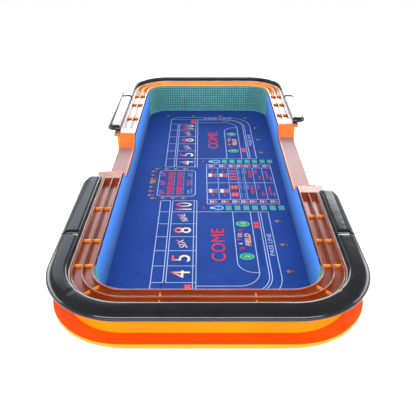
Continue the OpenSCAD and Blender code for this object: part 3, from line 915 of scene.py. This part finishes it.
def make_layout():
    """Everything printed on the layout cloth, one piece for each ink."""
    ink = Print()
    for sign in (-1, 1):
        number_grid(ink, sign)
        pass_lines(ink, sign)
        field(ink, sign)
        service_bets(ink, sign)
        margin_dice(ink, sign)
    centre_box(ink)
    odds_box(ink)
    red, cream = (0.6, 0.02, 0.03), (0.8, 0.68, 0.5)
    left, right = (GRID[2] + Print.SHIFT) * MM, (GRID[3] + Print.SHIFT) * MM
    fade = ("X", left, right, ((0.2, red), (0.42, (0.75, 0.3, 0.2)), (0.6, cream), (1.0, (0.85, 0.82, 0.8))))
    inks = {
        "white": cloth("print_white", (0.42, 0.52, 0.74)),
        "cream": cloth("print_cream", cream),
        "red": cloth("print_red", (0.75, 0.03, 0.01)),
        "green": cloth("print_green", (0.03, 0.3, 0.16)),
        "mint": cloth("print_mint", (0.14, 0.55, 0.36)),
        "sky": cloth("print_sky", (0.3, 0.7, 0.95)),
        "navy": cloth("print_navy", (0.01, 0.02, 0.08)),
        "black": cloth("print_black", (0.01, 0.01, 0.012)),
        "orange": cloth("print_orange", (0.42, 0.22, 0.12)),
        "felt": MATERIALS["blue_felt"],
        "number": cloth("print_number", cream, gradient=fade),
    }
    ink.finish(inks)


# ---- floor, light and camera ---------------------------------------------------------------------------
FLOOR_HALF = 14.0


def make_floor():
    corners = [(x * FLOOR_HALF, y * FLOOR_HALF, 0) for x, y in ((-1, -1), (1, -1), (1, 1), (-1, 1))]
    mesh = bpy.data.meshes.new("floor")
    mesh.from_pydata(corners, [], [(0, 1, 2, 3)])
    floor = bpy.data.objects.new("floor", mesh)
    bpy.context.scene.collection.objects.link(floor)
    s = Shader("floor_pale")
    s.colour(s.ramp(s.noise(0.8, 3), (0.3, (0.93, 0.93, 0.93)), (0.7, (0.96, 0.96, 0.96))))
    s.set(Roughness=0.9, Specular_IOR_Level=0.1, Emission_Color=(1, 1, 1, 1), Emission_Strength=0.52)
    mesh.materials.append(s.material)


def add_light(name, place, aim, size, power, colour=(1, 1, 1)):
    light = bpy.data.lights.new(name, "AREA")
    light.shape = "RECTANGLE"
    light.size, light.size_y = size
    light.energy = power
    light.color = colour
    holder = bpy.data.objects.new(name, light)
    holder.location = place
    holder.rotation_euler = (Vector(aim) - Vector(place)).to_track_quat("-Z", "Y").to_euler()
    bpy.context.scene.collection.objects.link(holder)


SKY_HEIGHTS = (0.25, 0.6)  # sines of the elevations between which the studio dims
SKY_STRENGTHS = (0.95, 0.35)


def make_world():
    """A white studio that is bright round the horizon and dimmer overhead."""
    world = bpy.data.worlds.new("studio")
    world.use_nodes = True
    tree = world.node_tree
    background = tree.nodes["Background"]
    background.inputs["Color"].default_value = (1, 1, 1, 1)
    direction = tree.nodes.new("ShaderNodeTexCoord")
    split = tree.nodes.new("ShaderNodeSeparateXYZ")
    fade = tree.nodes.new("ShaderNodeMapRange")
    tree.links.new(direction.outputs["Generated"], split.inputs["Vector"])
    tree.links.new(split.outputs["Z"], fade.inputs["Value"])
    fade.inputs["From Min"].default_value, fade.inputs["From Max"].default_value = SKY_HEIGHTS
    fade.inputs["To Min"].default_value, fade.inputs["To Max"].default_value = SKY_STRENGTHS
    tree.links.new(fade.outputs["Result"], background.inputs["Strength"])
    bpy.context.scene.world = world


DAYLIGHT = (0.93, 0.96, 1.0)
BLUE_LIGHT = (0.75, 0.88, 1.0)
# name, place, aim, size, power, colour
LIGHTS = (
    ("back", (0.3, 6.2, 2.15), (0.2, 0.0, 0.9), (5.5, 3.5), 400, DAYLIGHT),
    ("back_right", (2.6, 6.2, 4.4), (0.6, -0.5, 0.9), (1.8, 1.6), 40, DAYLIGHT),
    ("front", (0, -7.0, 1.5), (0, 0, 0.9), (9.0, 2.4), 190, (1, 1, 1)),
    ("above", (0, -5.2, 5.2), (0, -1.0, 0.9), (8.0, 1.1), 420, (1, 1, 1)),
    ("corner", (-1.9, 2.3, 3.2), (-0.8, -1.0, 1.0), (1.8, 1.3), 14, BLUE_LIGHT),
)


def make_lights():
    for side, hand in ((-1, "left"), (1, "right")):
        add_light(f"side_{hand}", (side * 3.4, 0.3, 2.1), (-side * 0.5, 0.1, 0.85), (3.8, 1.0), 68)
    for row in LIGHTS:
        add_light(*row)


CAMERA_HEIGHT = 1.7595  # above the playing surface
CAMERA_BACK = 3.308  # from the middle of the table
CAMERA_TILT = 0.537  # radians below the horizon
CAMERA_LENS = 45.23  # millimetres, for a sensor 36 wide


def make_camera():
    data = bpy.data.cameras.new("camera")
    data.lens = CAMERA_LENS
    data.sensor_width = 36
    data.clip_end = 60
    camera = bpy.data.objects.new("camera", data)
    camera.location = (0, -CAMERA_BACK, FELT_TOP + CAMERA_HEIGHT)
    camera.rotation_euler = (math.pi / 2 - CAMERA_TILT, 0, 0)
    bpy.context.scene.collection.objects.link(camera)
    bpy.context.scene.camera = camera


make_camera()
make_world()
make_lights()
make_floor()
dress_nodes()
make_armrest()
for which in (-1, 1):
    make_lining(which)
for is_far in (False, True):
    make_pyramids(is_far)
make_felt()
make_layout()
bpy.context.scene.view_settings.view_transform = "Standard"
